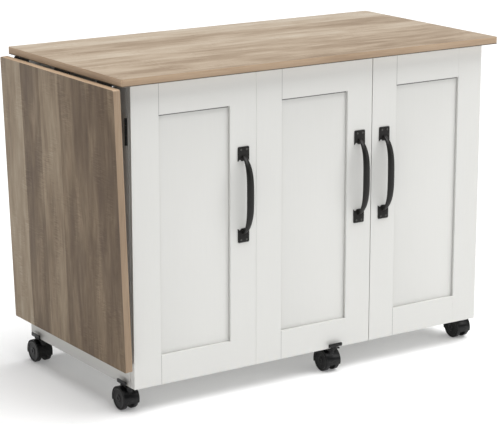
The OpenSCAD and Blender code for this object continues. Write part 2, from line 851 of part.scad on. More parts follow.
// A handle centred on x, its back on the door's face
module handle(x) {
    plate_z = (handle_h - handle_plate_h) / 2;
    difference() {
        translate([x, door_y, handle_z]) {
            for (s = [-1, 1]) difference() {
                handle_plate(s * plate_z);
                for (d = [-1, 1])
                    translate([d * (neck_w / 2 + scallop_r), -handle_plate_t - 1,
                        s * (plate_z - handle_plate_h / 2 - scallop_out)])
                        y_rod(scallop_r, handle_plate_t + 2);
            }
            intersection() {
                rotate([0, -90, 180]) translate([0, 0, -grip_w / 2])
                    linear_extrude(grip_w) grip_side();
                rotate([90, 0, 0]) rotate([0, 0, 90]) translate([0, 0, -1])
                    linear_extrude(handle_out + 2) grip_front();
            }
        }
        handle_screw_spots(x) translate([0, -handle_plate_t - eps, 0])
            y_rod(screw_r + screw_play, handle_plate_t + 1);
    }
}

// Two screws in each plate, at its outer end
module handle_screw_spots(x) {
    for (s = [-1, 1], d = [-handle_screw_x, handle_screw_x])
        translate([x + d, door_y, handle_z + s * (handle_h / 2 - handle_screw_z)]) children();
}

module handle_screws(x) {
    handle_screw_spots(x) {
        translate([0, -handle_plate_t, 0]) y_rod(screw_r, handle_plate_t + screw_bite);
        translate([0, -handle_plate_t - handle_head_t, 0])
            y_rod(handle_head_r, handle_head_t);
    }
}

module wide_door_handles() place() color(black) for (x = wide_handle_xs) handle(x);
module right_door_handle() place() color(black) handle(right_handle_x);

module wide_door_screws() place() color(zinc) {
    for (x = wide_handle_xs) handle_screws(x);
    for (z = door_hinge_zs) hinge_screws(left_pin_x, 1, z, -1);
}

module right_door_screws() place() color(zinc) {
    handle_screws(right_handle_x);
    for (z = door_hinge_zs) hinge_screws(right_pin_x, -1, z, -1);
}

// ---------- casters ----------
// Drawn about the stem's axis, the wheels trailing towards +Y
module axle_spot() {
    translate([0, trail, wheel_r]) children();
}

module caster_hood() color(black) {
    difference() {
        union() {
            axle_spot() translate([-hood_w / 2, 0, 0]) x_rod(hood_r, hood_w);
            translate([0, 0, wheel_r]) cylinder(r = boss_r, h = boss_top - wheel_r);
        }
        axle_spot() for (x = [web_t / 2, -web_t / 2 - hood_w])
            translate([x, 0, 0]) x_rod(wheel_r + wheel_play, hood_w);
        axle_spot() translate([-web_t, 0, 0]) x_rod(axle_r + axle_seat, 2 * web_t);
        translate([-hood_w, trail - 2 * hood_r, -hood_r])
            cube([2 * hood_w, 4 * hood_r, hood_r + hood_foot]);
        translate([0, 0, stem_foot - stem_floor])
            cylinder(r = stem_r + swivel_play, h = cabinet_lift);
    }
    axle_spot() translate([axle_end_in - hood_w / 2, 0, 0])
        x_rod(axle_r, hood_w - 2 * axle_end_in);
}

// One wheel, its outer face towards +X
module caster_wheel() color(black) axle_spot() translate([web_t / 2 + wheel_play, 0, 0])
    rotate([90, 0, 90]) rotate_extrude() polygon([
        [axle_r + swivel_play, 0], [wheel_r - tread_ease, 0], [wheel_r, tread_ease],
        [wheel_r, wheel_w - rim_ease], [wheel_r - rim_ease, wheel_w],
        [wheel_r - rim_in, wheel_w], [wheel_r - rim_in - rim_step, wheel_w - rim_step],
        [hub_r, wheel_w - rim_step], [hub_r - rim_step, wheel_w],
        [axle_r + swivel_play, wheel_w]]);

module stem() color(zinc) translate([0, 0, stem_foot])
    cylinder(r = stem_r, h = base_z + stem_in - stem_foot);

module sleeve() color(black) translate([0, 0, base_z]) difference() {
    cylinder(r = sleeve_r, h = sleeve_l);
    translate([0, 0, -eps]) cylinder(r = sleeve_bore_r, h = sleeve_l + 1);
}

// Bracket and lever face +X on a board of thickness t
function lever_u(t) = t / 2 + lever_pin_out;

module bracket(t) color(black) difference() {
    union() {
        translate([bracket_inset - t / 2, -lever_half_w - ear_t, bracket_z])
            cube([t - bracket_inset, 2 * (lever_half_w + ear_t), bracket_t]);
        for (v = [-lever_half_w - ear_t, lever_half_w])
            translate([t / 2 - ear_root, v, lever_pin_z - lever_barrel_r])
                cube([ear_root + lever_pin_out + lever_barrel_r, ear_t,
                    base_z - lever_pin_z + lever_barrel_r - eps]);
    }
    translate([0, 0, bracket_z - 1]) cylinder(r = sleeve_bore_r, h = bracket_t + 2);
    translate([lever_u(t), -toe_w, lever_pin_z]) y_rod(lever_pin_r - eps, 2 * toe_w);
}

module bracket_pin(t) color(zinc)
    translate([lever_u(t), -lever_half_w - ear_t, lever_pin_z])
        y_rod(lever_pin_r - 2 * eps, 2 * (lever_half_w + ear_t));

module lever(t) color(black) {
    arm_l = norm([toe_reach, toe_rise]) + 1;
    difference() {
        translate([lever_u(t), 0, lever_pin_z]) {
            translate([0, lever_side_play - lever_half_w, 0])
                y_rod(lever_barrel_r, 2 * (lever_half_w - lever_side_play));
            rotate([0, -atan(toe_rise / toe_reach), 0]) translate([0, 0, -arm_t / 2])
                linear_extrude(arm_t) polygon([[0, -arm_root_w / 2], [arm_l, -arm_toe_w / 2],
                    [arm_l, arm_toe_w / 2], [0, arm_root_w / 2]]);
            translate([toe_reach, -toe_w / 2, toe_rise]) rotate([90, 0, 90])
                linear_extrude(toe_t) rounded_rect(toe_w, toe_h, toe_corner_r);
        }
        translate([lever_u(t), -toe_w, lever_pin_z]) y_rod(lever_pin_r + pin_play, 2 * toe_w);
    }
}

// Where each caster stands: x, y, and the angle its lever faces
front_left = [end_stem_xs[0], stem_ys[0], 180];
front_right = [end_stem_xs[1], stem_ys[0], 0];
rear_left = [end_stem_xs[0], stem_ys[1], 180];
rear_right = [end_stem_xs[1], stem_ys[1], 0];
on_door = [door_stem_x, door_stem_y, -90];
cabinet_casters = [front_left, front_right, rear_left, rear_right];

module at(c) {
    place() translate([c[0], c[1], 0]) children();
}

module facing(c) {
    at(c) rotate([0, 0, c[2]]) children();
}

module caster_sleeves() for (c = cabinet_casters) at(c) sleeve();
module caster_stems() for (c = cabinet_casters) at(c) stem();
module brake_brackets() for (c = cabinet_casters) facing(c) {
    bracket(board_t);
    bracket_pin(board_t);
}

module wide_door_caster_sleeve() at(on_door) sleeve();
module wide_door_caster_stem() at(on_door) stem();
module wide_door_brake_bracket() facing(on_door) {
    bracket(door_t);
    bracket_pin(door_t);
}

module wheel_a(c) at(c) mirror([1, 0, 0]) caster_wheel();
module wheel_b(c) at(c) caster_wheel();

// ---------- output ----------
top_panel();
left_end_panel();
right_end_panel();
partition();
bottom_panel();
back_panel();
back_nails();
top_rails();
left_shelf();
right_shelves();
shelf_pins();
cam_fasteners();
cabinet_screws();
door_catches();
door_hinge_cabinet_plates();
leaf_hinge_top_plates();
hinge_pins();
caster_sleeves();
caster_stems();
brake_brackets();
wide_door_stiles();
wide_door_rails();
wide_door_panels();
wide_door_handles();
wide_door_screws();
wide_door_hinge_plates();
wide_door_strike_plate();
wide_door_caster_sleeve();
wide_door_caster_stem();
wide_door_brake_bracket();
right_door_stiles();
right_door_rails();
right_door_panel();
right_door_handle();
right_door_screws();
right_door_hinge_plates();
right_door_strike_plate();
drop_leaf();
drop_leaf_hinge_plates();
drop_leaf_screws();
at(front_left) caster_hood();  // front_left_hood
wheel_a(front_left);  // front_left_wheel_a
wheel_b(front_left);  // front_left_wheel_b
facing(front_left) lever(board_t);  // front_left_lever
at(front_right) caster_hood();  // front_right_hood
wheel_a(front_right);  // front_right_wheel_a
wheel_b(front_right);  // front_right_wheel_b
facing(front_right) lever(board_t);  // front_right_lever
at(rear_left) caster_hood();  // rear_left_hood
wheel_a(rear_left);  // rear_left_wheel_a
wheel_b(rear_left);  // rear_left_wheel_b
facing(rear_left) lever(board_t);  // rear_left_lever
at(rear_right) caster_hood();  // rear_right_hood
wheel_a(rear_right);  // rear_right_wheel_a
wheel_b(rear_right);  // rear_right_wheel_b
facing(rear_right) lever(board_t);  // rear_right_lever
at(on_door) caster_hood();  // door_caster_hood
wheel_a(on_door);  // door_caster_wheel_a
wheel_b(on_door);  // door_caster_wheel_b
facing(on_door) lever(door_t);  // door_caster_lever
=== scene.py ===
import math

import bmesh
import bpy
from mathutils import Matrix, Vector


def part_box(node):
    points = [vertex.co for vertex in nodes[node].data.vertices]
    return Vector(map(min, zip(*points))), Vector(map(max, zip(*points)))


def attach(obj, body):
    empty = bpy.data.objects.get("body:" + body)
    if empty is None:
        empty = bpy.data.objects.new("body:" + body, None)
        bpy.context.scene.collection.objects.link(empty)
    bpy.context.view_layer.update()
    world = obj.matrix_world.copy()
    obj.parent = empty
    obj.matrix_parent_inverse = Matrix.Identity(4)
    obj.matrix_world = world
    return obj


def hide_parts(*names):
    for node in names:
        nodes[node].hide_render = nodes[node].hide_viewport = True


# A sewing table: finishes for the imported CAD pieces, bow handles modelled anew, and the stage.
# X runs to the right, Y to the back and Z up, in metres.

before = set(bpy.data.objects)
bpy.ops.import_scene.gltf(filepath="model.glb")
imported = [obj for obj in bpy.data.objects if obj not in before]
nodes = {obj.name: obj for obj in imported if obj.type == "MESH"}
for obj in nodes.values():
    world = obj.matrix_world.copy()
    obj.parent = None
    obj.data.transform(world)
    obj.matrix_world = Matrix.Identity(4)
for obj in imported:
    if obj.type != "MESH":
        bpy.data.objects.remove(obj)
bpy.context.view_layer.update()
MM = 0.001
X, Y, Z = range(3)


def add_object(name, data):
    o = bpy.data.objects.new(name, data)
    bpy.context.scene.collection.objects.link(o)
    return o


# ---------- materials ----------
class Mat:
    """A material whose Principled shader is fed from the piece's own coordinates, in metres."""

    def __init__(self, name, rough=0.5, metal=0.0, spec=0.5):
        self.m = bpy.data.materials.new(name)
        self.m.use_nodes = True
        self.t = self.m.node_tree
        self.b = self.t.nodes["Principled BSDF"]
        self.b.inputs["Roughness"].default_value = rough
        self.b.inputs["Metallic"].default_value = metal
        self.b.inputs["Specular IOR Level"].default_value = spec
        self.co = self.node("ShaderNodeTexCoord").outputs["Object"]

    def node(self, kind, **props):
        n = self.t.nodes.new(kind)
        for k, v in props.items():
            setattr(n, k, v)
        return n

    def put(self, socket, value):
        if isinstance(value, bpy.types.NodeSocket):
            self.t.links.new(value, socket)
        else:
            socket.default_value = value

    def calc(self, op, a, b=0.0, c=0.0, clamp=False):
        n = self.node("ShaderNodeMath", operation=op, use_clamp=clamp)
        for s, v in zip(n.inputs, (a, b, c)):
            self.put(s, v)
        return n.outputs[0]

    def xyz(self):
        n = self.node("ShaderNodeSeparateXYZ")
        self.put(n.inputs[0], self.co)
        return n.outputs

    def scaled(self, sizes, shift):
        """Coordinates with one unit per size, each size in millimetres."""
        n = self.node("ShaderNodeMapping")
        self.put(n.inputs["Vector"], self.co)
        n.inputs["Scale"].default_value = [1 / (s * MM) for s in sizes]
        n.inputs["Location"].default_value = shift
        return n.outputs[0]

    def noise(self, sizes, detail=3.0, rough=0.55, distortion=0.0, shift=(0, 0, 0)):
        n = self.node("ShaderNodeTexNoise")
        self.put(n.inputs["Vector"], self.scaled(sizes, shift))
        n.inputs["Scale"].default_value = 1.0
        n.inputs["Detail"].default_value = detail
        n.inputs["Roughness"].default_value = rough
        n.inputs["Distortion"].default_value = distortion
        return n.outputs["Fac"]

    def ramp(self, fac, stops):
        n = self.node("ShaderNodeValToRGB")
        r = n.color_ramp
        while len(r.elements) < len(stops):
            r.elements.new(0.5)
        for e, (pos, color) in zip(r.elements, stops):
            e.position = pos
            e.color = (*color, 1)
        self.put(n.inputs["Fac"], fac)
        return n.outputs["Color"]

    def mix(self, fac, a, b):
        """The colour a, which becomes b where fac is 1. Here b is a plain colour."""
        n = self.node("ShaderNodeMix", data_type="RGBA")
        self.put(n.inputs["Factor"], fac)
        color_a, color_b = [s for s in n.inputs if s.type == "RGBA"]
        self.put(color_a, a)
        self.put(color_b, (*b, 1))
        return [s for s in n.outputs if s.type == "RGBA"][0]

    def level(self, fac, low, high, to_low, to_high):
        n = self.node("ShaderNodeMapRange")
        for s, v in zip(n.inputs, (fac, low, high, to_low, to_high)):
            self.put(s, v)
        return n.outputs[0]

    def line(self, distance, near, far, strength):
        """A line's strength: full up to the distance near, nothing from far on."""
        return self.level(distance, near, far, strength, 0.0)

    def color(self, value):
        self.put(self.b.inputs["Base Color"], value)

    def roughness(self, value):
        self.put(self.b.inputs["Roughness"], value)

    def bump(self, height, distance, strength=1.0):
        n = self.node("ShaderNodeBump")
        n.inputs["Strength"].default_value = strength
        n.inputs["Distance"].default_value = distance
        self.put(n.inputs["Height"], height)
        self.put(self.b.inputs["Normal"], n.outputs[0])


def along(axis, long, across):
    """Sizes in millimetres for a texture that runs along one axis."""
    sizes = [across] * 3
    sizes[axis] = long
    return sizes


FOIL_TONES = [(0.25, (0.640, 0.640, 0.618)), (0.7, (0.658, 0.657, 0.637))]
FOIL_CLOUD = (0.650, 0.648, 0.625)


def white_foil(axis, name):
    """White wood-grained foil. Its colour stays in foil_color, for painted shade lines to be mixed
    in.
    """
    m = Mat(name, rough=0.42, spec=0.4)
    fibres = m.noise(along(axis, 26, 0.9), detail=4, rough=0.6)
    cloud = m.noise((180, 180, 180), detail=2)
    brush = m.noise(along(axis, 60, 3.5), detail=2)
    tone = m.calc("MULTIPLY_ADD", fibres, 0.5, m.calc("MULTIPLY", brush, 0.5))
    base = m.ramp(tone, FOIL_TONES)
    m.foil_color = m.mix(m.level(cloud, 0.3, 0.7, 0, 0.35), base, FOIL_CLOUD)
    m.color(m.foil_color)
    m.roughness(m.level(brush, 0.2, 0.8, 0.47, 0.52))
    m.bump(fibres, 0.03 * MM, 0.35)
    return m


GROOVE_IN = 7.8 * MM  # how deep a panel's edge stands in the grooves of its frame
MIDDLE_STILE = 132 * MM
PAINTED_SHADE_GREY = (0.07, 0.07, 0.068)
# Each painted shade line's near and far distance and its strength, as Mat.line takes them
SIDE_SHADE_LINE = (0.6 * MM, 1.4 * MM, 0.35)
UPPER_RAIL_SHADOW = (3.0 * MM, 4.0 * MM, 0.9)
JOINT_SEAM_SHADE = (0.7 * MM, 1.3 * MM, 0.6)


def door_fields(panels):
    """The openings of a door's frame: (left, right) of each, and their upper edge."""
    lo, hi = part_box(panels)
    left, right, high = lo.x + GROOVE_IN, hi.x - GROOVE_IN, hi.z - GROOVE_IN
    middle = (left + right) / 2
    if right - left > 2 * MIDDLE_STILE:
        return [(left, middle - MIDDLE_STILE / 2), (middle + MIDDLE_STILE / 2, right)], high
    return [(left, right)], high


def panel_foil(panels):
    """The door panels' foil, with painted shade: a dark band under the upper rail and thin dark
    lines along the sides of each opening.
    """
    spans, high = door_fields(panels)
    m = white_foil(Z, panels + "_foil")
    x, _, z = m.xyz()
    inside = None
    for left, right in spans:
        across = m.calc("MINIMUM", m.calc("SUBTRACT", x, left), m.calc("SUBTRACT", right, x))
        inside = across if inside is None else m.calc("MAXIMUM", inside, across)
    # Painted shade: thin dark lines along the sides of each opening, and a dark band under the
    # upper rail
    side = m.line(inside, *SIDE_SHADE_LINE)
    upper = m.line(m.calc("SUBTRACT", high, z), *UPPER_RAIL_SHADOW)
    m.color(m.mix(m.calc("MAXIMUM", side, upper), m.foil_color, PAINTED_SHADE_GREY))
    return m.m


def rail_foil(rails, panels):
    """The rails' foil, with a dark seam line at each rail's left end, partly the real seam and
    partly painted shade where the rail's end faces away from the light.
    """
    spans = door_fields(panels)[0]
    m = white_foil(X, rails + "_foil")
    x = m.xyz()[X]
    seam_and_shade = None
    # A dark seam at each rail's left end: partly the real seam, partly painted shade
    for left, _ in spans:
        here = m.line(m.calc("ABSOLUTE", m.calc("SUBTRACT", x, left)), *JOINT_SEAM_SHADE)
        seam_and_shade = here if seam_and_shade is None else m.calc("MAXIMUM", seam_and_shade, here)
    m.color(m.mix(seam_and_shade, m.foil_color, PAINTED_SHADE_GREY))
    return m.m


PLANK_W = 83 * MM
PORE_BROWN = (0.20, 0.145, 0.10)
# How much each layer of the print moves the tone
CLOUD_WEIGHT, STREAK_WEIGHT, FIBRE_WEIGHT, SAW_WEIGHT = 1.15, 0.55, 0.40, 0.75
TOP_TONES = [
    (0.0, (0.250, 0.180, 0.125)), (0.28, (0.365, 0.282, 0.205)),
    (0.52, (0.470, 0.382, 0.290)), (0.76, (0.545, 0.465, 0.370)),
    (1.0, (0.620, 0.555, 0.470))]
# The leaf's tones are the top's oak print darkened as painted shade, for the leaf's shaded side
LEAF_SHADED_TONES = [
    (0.0, (0.092, 0.056, 0.031)), (0.28, (0.163, 0.111, 0.065)),
    (0.52, (0.247, 0.179, 0.112)), (0.76, (0.332, 0.257, 0.173)),
    (1.0, (0.425, 0.350, 0.258))]


def oak(axis, across_axis, name, tones, plank_step):
    """Greyed oak print: planks along one axis, streaks, pores and faint saw marks across."""
    m = Mat(name, spec=0.3)
    across = m.xyz()[across_axis]
    wander = m.noise(along(axis, 420, 90), detail=1)
    plank = m.calc("MULTIPLY_ADD", wander, 0.16, m.calc("DIVIDE", across, PLANK_W))
    rand = m.node("ShaderNodeTexWhiteNoise", noise_dimensions="1D")
    m.put(rand.inputs["W"], m.calc("FLOOR", plank))
    plank_tone = rand.outputs["Value"]
    cloud = m.noise(along(axis, 190, 34), detail=3, rough=0.6, distortion=0.3)
    streak = m.noise(along(axis, 150, 11), detail=5, rough=0.6, distortion=0.15)
    fibre = m.noise(along(axis, 30, 1.1), detail=3, rough=0.6)
    pores = m.noise(along(axis, 9, 0.55), detail=2, rough=0.5, shift=(5, 3, 1))
    saw = m.noise(along(axis, 1.3, 22), detail=1, shift=(3, 7, 2))
    saw_patch = m.level(m.noise(along(axis, 90, 60), detail=1, shift=(9, 1, 4)), 0.48, 0.66, 0, 1)
    t = m.calc("MULTIPLY", m.calc("SUBTRACT", plank_tone, 0.5), plank_step)
    for layer, weight in ((cloud, CLOUD_WEIGHT), (streak, STREAK_WEIGHT), (fibre, FIBRE_WEIGHT)):
        t = m.calc("MULTIPLY_ADD", m.calc("SUBTRACT", layer, 0.5), weight, t)
    saw_in = m.calc("MULTIPLY", m.calc("SUBTRACT", saw, 0.5), saw_patch)
    t = m.calc("MULTIPLY_ADD", saw_in, SAW_WEIGHT, t)
    t = m.calc("ADD", t, 0.5, clamp=True)
    wood = m.ramp(t, tones)
    pore = m.level(pores, 0.60, 0.72, 0, 0.30)
    m.color(m.mix(pore, wood, PORE_BROWN))
    m.roughness(m.level(streak, 0.25, 0.75, 0.45, 0.58))
    height = m.calc("MULTIPLY_ADD", pore, -1.2, m.calc("MULTIPLY", fibre, 0.6))
    m.bump(height, 0.07 * MM, 0.6)
    return m.m


EDGE_TONES = [
    (0.25, (0.235, 0.160, 0.100)), (0.5, (0.340, 0.242, 0.158)), (0.75, (0.430, 0.325, 0.225))]
# Painted shade on the edge strip towards its foot: near, far and strength, then the colour; then a
# painted shadow line along the lower arris
FOOT_SHADE, FOOT_SHADE_BROWN = (0.0, 14 * MM, 0.35), (0.20, 0.135, 0.085)
ARRIS_SHADOW_LINE, ARRIS_SHADOW_DARK = (1.2 * MM, 2.6 * MM, 0.85), (0.035, 0.030, 0.022)


def oak_edge(axis, name, tone_and_light_gain, foot=None):
    """The warmer edge strip of the laminate, lightened or darkened by its gain, partly its own
    tone and partly painted light and shade; foot is the height of its lower arris, where painted
    shade and a painted shadow line darken the strip.
    """
    m = Mat(name, spec=0.4)
    streak = m.noise(along(axis, 70, 2.4), detail=4, rough=0.6)
    cloud = m.noise(along(axis, 240, 60), detail=2)
    t = m.calc("MULTIPLY_ADD", cloud, 0.5, m.calc("MULTIPLY", streak, 0.5))
    strip = m.ramp(t, [(at, tuple(tone_and_light_gain * c for c in tone)) for at, tone in EDGE_TONES])
    if foot is not None:
        # Painted shade towards the strip's foot, and a painted shadow line at its lower arris
        height = m.calc("SUBTRACT", m.xyz()[Z], foot)
        strip = m.mix(m.line(height, *FOOT_SHADE), strip, FOOT_SHADE_BROWN)
        strip = m.mix(m.line(height, *ARRIS_SHADOW_LINE), strip, ARRIS_SHADOW_DARK)
    m.color(strip)
    m.roughness(m.level(streak, 0.3, 0.7, 0.45, 0.58))
    m.bump(streak, 0.06 * MM, 0.5)
    return m.m


def black_metal():
    m = Mat("black_coat", rough=0.4, spec=0.26)
    grain = m.noise((0.9, 0.9, 0.9), detail=3, rough=0.6)
    hammer = m.noise((5, 5, 5), detail=2)
    m.color(m.ramp(hammer, [(0.3, (0.0052, 0.0048, 0.0040)), (0.75, (0.0100, 0.0094, 0.0082))]))
    m.roughness(m.level(grain, 0.3, 0.7, 0.32, 0.46))
    m.bump(m.calc("MULTIPLY_ADD", hammer, 1.0, m.calc("MULTIPLY", grain, 0.25)),
           0.22 * MM, 0.5)
    return m.m


def plastic(name, dark, light, rough, grain_mm=0.5):
    m = Mat(name, rough=rough, spec=0.26)
    grain = m.noise((grain_mm,) * 3, detail=2)
    cloud = m.noise((14, 14, 14), detail=3)
    m.color(m.ramp(cloud, [(0.3, dark), (0.7, light)]))
    m.roughness(m.level(m.calc("ADD", grain, cloud), 0.7, 1.3, rough - 0.06, rough + 0.08))
    m.bump(grain, 0.05 * MM, 0.35)
    return m.m


def zinc():
    m = Mat("zinc_plate", rough=0.33, metal=1.0)
    streak = m.noise((6, 6, 0.7), detail=3)
    cloud = m.noise((9, 9, 9), detail=2)
    m.color(m.ramp(cloud, [(0.3, (0.50, 0.51, 0.53)), (0.7, (0.66, 0.67, 0.68))]))
    m.roughness(m.level(streak, 0.3, 0.7, 0.24, 0.42))
    m.bump(streak, 0.02 * MM, 0.4)
    return m.m


def screw_steel():
    m = Mat("dark_screw_steel", rough=0.34, metal=1.0)
    cloud = m.noise((1.5, 1.5, 1.5), detail=3)
    m.color(m.ramp(cloud, [(0.3, (0.045, 0.045, 0.042)), (0.7, (0.12, 0.12, 0.112))]))
    m.roughness(m.level(cloud, 0.3, 0.7, 0.28, 0.42))
    m.bump(cloud, 0.05 * MM, 0.4)
    return m.m


def hardboard():
    m = Mat("white_hardboard", rough=0.55, spec=0.35)
    fleck = m.noise((2.2, 2.2, 2.2), detail=4, rough=0.65)
    cloud = m.noise((120, 120, 120), detail=2)
    t = m.calc("MULTIPLY_ADD", fleck, 0.6, m.calc("MULTIPLY", cloud, 0.4))
    m.color(m.ramp(t, [(0.3, (0.66, 0.65, 0.61)), (0.7, (0.75, 0.745, 0.71))]))
    m.roughness(m.level(fleck, 0.3, 0.7, 0.5, 0.64))
    m.bump(fleck, 0.08 * MM, 0.4)
    return m.m


WHITE_X = white_foil(X, "white_foil_x").m
WHITE_Z = white_foil(Z, "white_foil_z").m
OAK_TOP = oak(X, Y, "oak_print_top", TOP_TONES, 0.34)
# The leaf's print is the top's oak darkened as painted shade
OAK_LEAF = oak(Z, Y, "oak_print_leaf", LEAF_SHADED_TONES, 0.6)
TOP_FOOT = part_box("top_panel")[0].z
# The edge copies' gains differ by which way each edge faces: partly the strip's own tone, partly
# painted light and shade for how light falls on each edge
TOP_EDGE_X = oak_edge(X, "oak_edge_top_x", 1.15, TOP_FOOT)
TOP_EDGE_Y = oak_edge(Y, "oak_edge_top_y", 1.45, TOP_FOOT)
LEAF_EDGE_Y = oak_edge(Y, "oak_edge_y", 1.35)
LEAF_EDGE_Z = oak_edge(Z, "oak_edge_z", 0.85)
COAT = black_metal()
BLACK = plastic("black_plastic", (0.0028, 0.0030, 0.0033), (0.0055, 0.0058, 0.0062), 0.30)
TREAD = plastic("black_nylon", (0.0026, 0.0028, 0.0031), (0.0050, 0.0052, 0.0056), 0.36, 0.8)
LEVER = plastic("lever_plastic", (0.0028, 0.0027, 0.0026), (0.0052, 0.0050, 0.0048), 0.36)
CREAM = plastic("white_plastic", (0.74, 0.74, 0.71), (0.80, 0.80, 0.77), 0.38)
ZINC = zinc()
SCREW = screw_steel()
BOARD = hardboard()

UPRIGHT_BOARDS = ("left_end_panel", "right_end_panel", "partition", "wide_door_stiles",
                  "right_door_stiles")
LEVEL_BOARDS = ("bottom_panel", "top_rails", "left_shelf", "right_shelves")
RAILS = ("wide_door_rails", "right_door_rails")
PANELS = ("wide_door_panels", "right_door_panel")
BRIGHT_METAL = ("back_nails", "shelf_pins", "cam_fasteners", "cabinet_screws", "hinge_pins",
                "caster_stems", "wide_door_caster_stem", "wide_door_strike_plate",
                "right_door_strike_plate", "drop_leaf_screws")
FINISH = {
    **dict.fromkeys(UPRIGHT_BOARDS, WHITE_Z),
    **dict.fromkeys(LEVEL_BOARDS, WHITE_X),
    **dict.fromkeys(BRIGHT_METAL, ZINC),
    "back_panel": BOARD, "door_catches": CREAM,
    "wide_door_screws": SCREW, "right_door_screws": SCREW,
    "wide_door_handles": COAT, "right_door_handle": COAT,
}
for rails, panels in zip(RAILS, PANELS):
    FINISH[rails] = rail_foil(rails, panels)
    FINISH[panels] = panel_foil(panels)


def finish_of(name):
    """A piece's finish: its own, or the one that its kind has."""
    if name in FINISH:
        return FINISH[name]
    if "hinge_plates" in name or "bracket" in name:
        return COAT
    if "lever" in name:
        return LEVER
    if "wheel" in name:
        return TREAD
    return BLACK


# ---------- carried-over pieces ----------
WELD_WITHIN = 0.002 * MM
FLAT_WITHIN, EASE_OVER = math.radians(0.5), math.radians(30)
BOARD_EASE, PANEL_EASE, LAMINATE_EASE = 0.5 * MM, 0.3 * MM, 1.6 * MM
LEVER_EASE, HOOD_EASE, WHEEL_EASE = 0.5 * MM, 0.6 * MM, 0.3 * MM


def soften(o, width, segments=2, smooth=True):
    """Joins the split vertices, merges flat triangles and eases the edges.

    Boards with holes in a flat face keep flat shading, because smooth shading streaks them.
    """
    weld = o.modifiers.new("weld", "WELD")
    weld.merge_threshold = WELD_WITHIN
    flat = o.modifiers.new("flat", "DECIMATE")
    flat.decimate_type = "DISSOLVE"
    flat.angle_limit = FLAT_WITHIN
    bevel = o.modifiers.new("ease", "BEVEL")
    bevel.width = width
    bevel.segments = segments
    bevel.limit_method = "ANGLE"
    bevel.angle_limit = EASE_OVER
    bevel.use_clamp_overlap = True
    bevel.harden_normals = smooth
    for p in o.data.polygons:
        p.use_smooth = smooth


def dress(o, materials):
    o.data.materials.clear()
    for m in materials:
        o.data.materials.append(m)


for name, o in nodes.items():
    dress(o, [finish_of(name)])
    if name in UPRIGHT_BOARDS + LEVEL_BOARDS + RAILS:
        soften(o, BOARD_EASE, smooth=False)
    elif name in PANELS + ("door_catches",):
        soften(o, PANEL_EASE)
    elif name.endswith("_lever"):
        soften(o, LEVER_EASE)
    elif name.endswith("_hood"):
        soften(o, HOOD_EASE, 3)
    elif "_wheel_" in name:
        soften(o, WHEEL_EASE)


def laminate(name, face, edges, thick_axis):
    """Faces across the thickness get the print, the rim gets the edge strip along it."""
    o = nodes[name]
    dress(o, [face, *edges])
    first, second = [axis for axis in (X, Y, Z) if axis != thick_axis]
    for p in o.data.polygons:
        n = [abs(c) for c in p.normal]
        if n[thick_axis] > max(n[first], n[second]):
            p.material_index = 0
        else:
            p.material_index = 1 if n[first] < n[second] else 2
    soften(o, LAMINATE_EASE, 4)


laminate("top_panel", OAK_TOP, (TOP_EDGE_X, TOP_EDGE_Y), Z)
laminate("drop_leaf", OAK_LEAF, (LEAF_EDGE_Y, LEAF_EDGE_Z), X)


# ---------- bow handles ----------
PLATE_W, PLATE_H, PLATE_T, PLATE_CORNER = 28 * MM, 31 * MM, 2.6 * MM, 2.5 * MM
PLATE_EASE = 0.7 * MM
SCALLOP_R, SCALLOP_DROP = 5 * MM, 1.5 * MM  # the scallops' middles lie under the plate
NECK_W, GRIP_W, GRIP_T = 9 * MM, 18 * MM, 6 * MM
ROOT_OUT = 0.6 * MM  # how far the grip's inner line stands off the door at its ends
NECK_IN = 0.72 * PLATE_H  # from the handle's end to the grip's
SHARP_OVER = math.radians(32)


def arc(x, z, r, start, end, n=5):
    """Points on an arc, its angles in degrees."""
    steps = [math.radians(start + (end - start) * i / n) for i in range(n + 1)]
    return [(x + r * math.cos(a), z + r * math.sin(a)) for a in steps]


def plate_outline():
    """A handle's upper plate seen from the front, its middle at 0, 0: scallops beside the neck."""
    w, h, c = PLATE_W / 2, PLATE_H / 2, PLATE_CORNER
    rim = arc(w - c, h - c, c, 0, 90) + arc(c - w, h - c, c, 90, 180)
    cut_x = NECK_W / 2 + SCALLOP_R
    cut_z = -h - SCALLOP_DROP
    lean = math.degrees(math.asin(SCALLOP_DROP / SCALLOP_R))
    left = arc(-cut_x, cut_z, SCALLOP_R, 180 - lean, lean)
    right = arc(cut_x, cut_z, SCALLOP_R, 180 - lean, lean)
    return rim + left + right


def solid_from_rings(bm, rings):
    """A closed form through rings of points, each ring of the same number."""
    made = [[bm.verts.new(p) for p in ring] for ring in rings]
    for a, b in zip(made, made[1:]):
        for i in range(len(a)):
            j = (i + 1) % len(a)
            bm.faces.new((a[i], a[j], b[j], b[i]))
    bm.faces.new(reversed(made[0]))
    bm.faces.new(made[-1])


def add_plate(bm, x, face_y, z, up):
    """The plate's back lies on the door; its front edge is eased all round."""
    outline = plate_outline()
    eased = [(PLATE_T - PLATE_EASE, 0), (PLATE_T - 0.3 * PLATE_EASE, 0.3 * PLATE_EASE),
             (PLATE_T, PLATE_EASE)]
    rings = []
    for depth, inset in [(0, 0)] + eased:
        k = 1 - 2 * inset / PLATE_W
        rings.append([(x + px * k, face_y - depth, z + up * pz * k) for px, pz in outline])
    solid_from_rings(bm, rings)


def grip_section(width, thick):
    """The grip cut across: a flat front with a broad facet on each side, and a rounder back."""
    w, t = width / 2, thick
    half = [(0.0, t), (0.42 * w, 0.99 * t), (0.80 * w, 0.80 * t), (w, 0.45 * t),
            (0.92 * w, 0.15 * t), (0.55 * w, 0.0)]
    return half + [(-a, b) for a, b in reversed(half[1:])]


def bow_point(t, half, out):
    """The grip's inner line: (distance from the door, height) for t from -1 to 1."""
    rise = max(0.0, 1 - abs(t) ** 3.4) ** 0.72
    return Vector((ROOT_OUT + (out - GRIP_T - ROOT_OUT) * rise, t * half))


